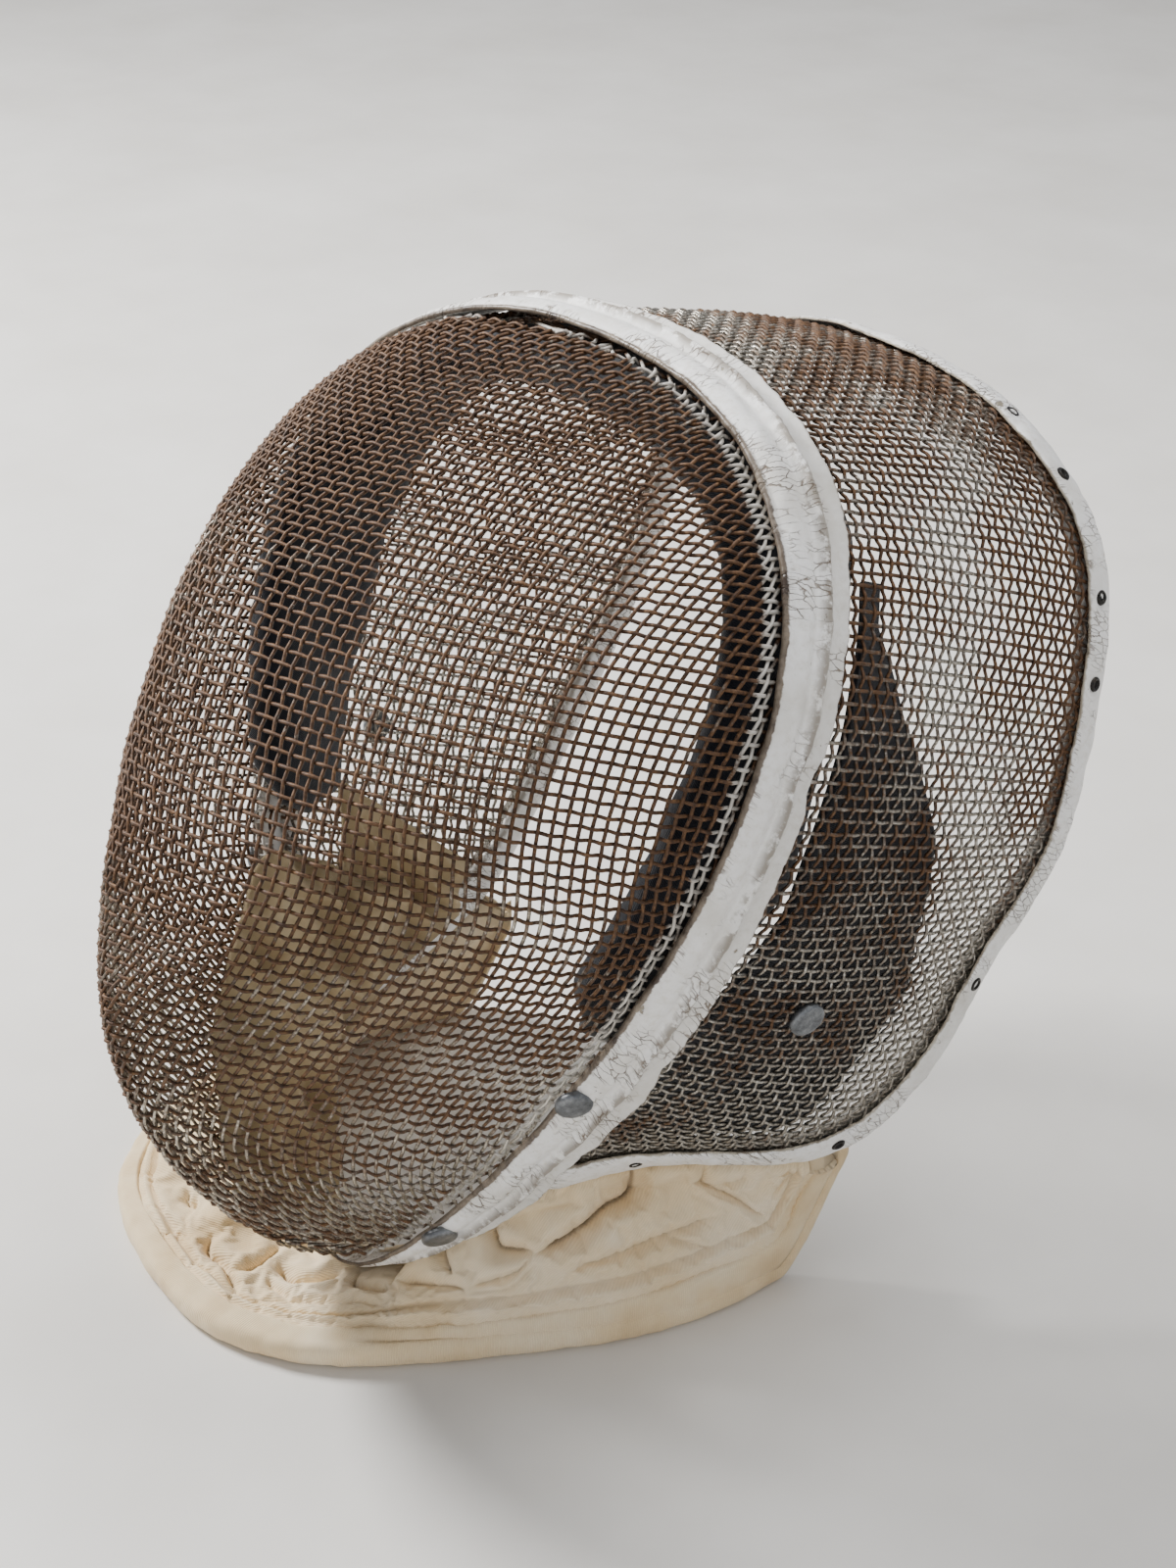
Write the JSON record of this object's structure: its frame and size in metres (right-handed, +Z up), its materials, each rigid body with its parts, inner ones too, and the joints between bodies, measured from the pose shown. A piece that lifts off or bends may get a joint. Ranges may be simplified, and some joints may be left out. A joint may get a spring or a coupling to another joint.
{
  "type": "fencing mask",
  "caption": "Vintage fencing mask of rusty woven wire with a cracked white leather seam band, navy head pad and padded cream cotton bib, standing on its bib.",
  "frame": {"origin": "on the ground, under the middle of the object's box", "axes": "+Z up, -Y is the way the wearer faces, +X is the wearer's left"},
  "size_m": [0.2308, 0.29, 0.2847],
  "materials": {
    "rusty_wire": "rusted woven wire, dull",
    "grey_wire": "weathered tinned wire with rust spots",
    "painted_leather": "white painted leather, cracked and flaking",
    "trim_leather": "off-white leather binding, dirty and cracked",
    "navy_cloth": "dull dark cloth",
    "lining_canvas": "rumpled canvas",
    "cream_cotton": "padded cotton twill, soft",
    "zinc": "dull grey zinc",
    "dark_eyelet": "worn dark metal"
  },
  "bodies": {
    "root": {"face_mesh": "rusty_wire", "side_mesh": "grey_wire", "seam_band": "painted_leather", "rear_trim": "trim_leather", "head_pad": "navy_cloth", "ear_flap": "navy_cloth", "chin_lining": "lining_canvas", "bib": "cream_cotton", "bib_binding": "cream_cotton", "band_rivet_left_upper": "zinc", "band_rivet_left_lower": "zinc", "side_rivet_left": "zinc", "trim_eyelet_left_1": "dark_eyelet", "trim_eyelet_left_2": "dark_eyelet", "trim_eyelet_left_3": "dark_eyelet", "trim_eyelet_left_4": "dark_eyelet", "trim_eyelet_left_5": "dark_eyelet", "trim_eyelet_left_6": "dark_eyelet", "trim_eyelet_left_7": "dark_eyelet", "band_rivet_right_upper": "zinc", "band_rivet_right_lower": "zinc", "side_rivet_right": "zinc", "trim_eyelet_right_1": "dark_eyelet", "trim_eyelet_right_2": "dark_eyelet", "trim_eyelet_right_3": "dark_eyelet", "trim_eyelet_right_4": "dark_eyelet", "trim_eyelet_right_5": "dark_eyelet", "trim_eyelet_right_6": "dark_eyelet", "trim_eyelet_right_7": "dark_eyelet"}
  },
  "joints": []
}
